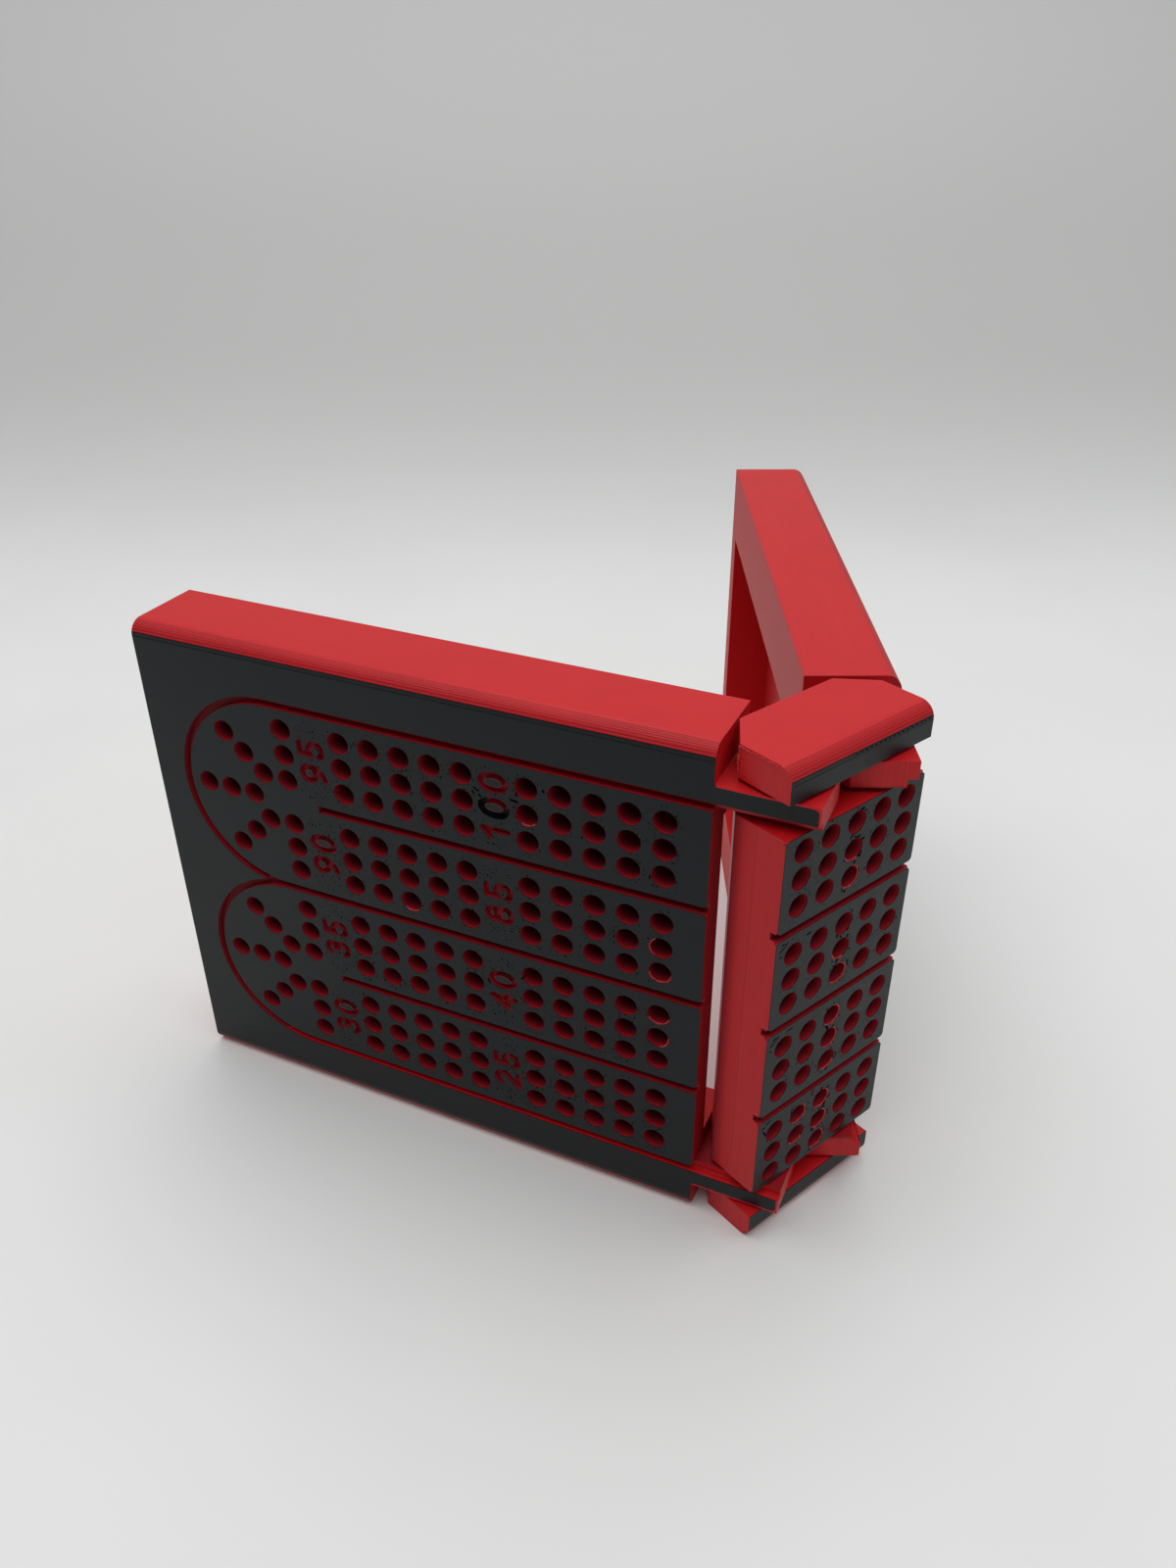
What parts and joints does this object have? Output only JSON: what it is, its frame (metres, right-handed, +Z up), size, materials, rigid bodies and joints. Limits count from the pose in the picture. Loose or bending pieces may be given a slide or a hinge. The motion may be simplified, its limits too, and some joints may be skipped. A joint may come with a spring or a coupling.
{
  "type": "folding cribbage board",
  "caption": "Folding cribbage board that stands on edge: a narrow drilled spine and two drilled leaves on pin hinges, with recesses in their backs that close round a deck of cards.",
  "frame": {"origin": "middle of the underside of the bottom end cap of the spine, midway between the two hinge axes", "axes": "+X along the spine's playing face to the right, +Y from the playing face to the back, +Z up along the hinge axes"},
  "size_m": [0.1472, 0.1126, 0.0926],
  "materials": {
    "red_print": "satin layered print",
    "charcoal_print": "satin first layer of a print",
    "pin_print": "satin layered print"
  },
  "bodies": {
    "spine": {"spine_block": "red_print", "spine_lane_1_face": "charcoal_print", "spine_lane_2_face": "charcoal_print", "spine_lane_3_face": "charcoal_print", "spine_lane_4_face": "charcoal_print", "top_cap": "red_print", "top_cap_face": "charcoal_print", "bottom_cap": "red_print", "bottom_cap_face": "charcoal_print", "top_left_hinge_pin": "pin_print", "top_right_hinge_pin": "pin_print", "bottom_left_hinge_pin": "pin_print", "bottom_right_hinge_pin": "pin_print"},
    "left": {"left_leaf": "red_print", "left_border_face": "charcoal_print", "left_upper_track_face": "charcoal_print", "left_lower_track_face": "charcoal_print"},
    "right": {"right_leaf": "red_print", "right_border_face": "charcoal_print", "right_finish_lane_face": "charcoal_print", "right_turn_track_face": "charcoal_print", "right_start_lane_face": "charcoal_print"}
  },
  "joints": [
    {"name": "left_hinge", "type": "hinge", "parent": "spine", "child": "left", "pos_m": [-0.008, 0, 0.0463], "axis": [0, 0, -1], "range_deg": [-63.8, 26.2]},
    {"name": "right_hinge", "type": "hinge", "parent": "spine", "child": "right", "pos_m": [0.008, 0, 0.0463], "axis": [0, 0, 1], "range_deg": [-50.4, 39.6]}
  ]
}
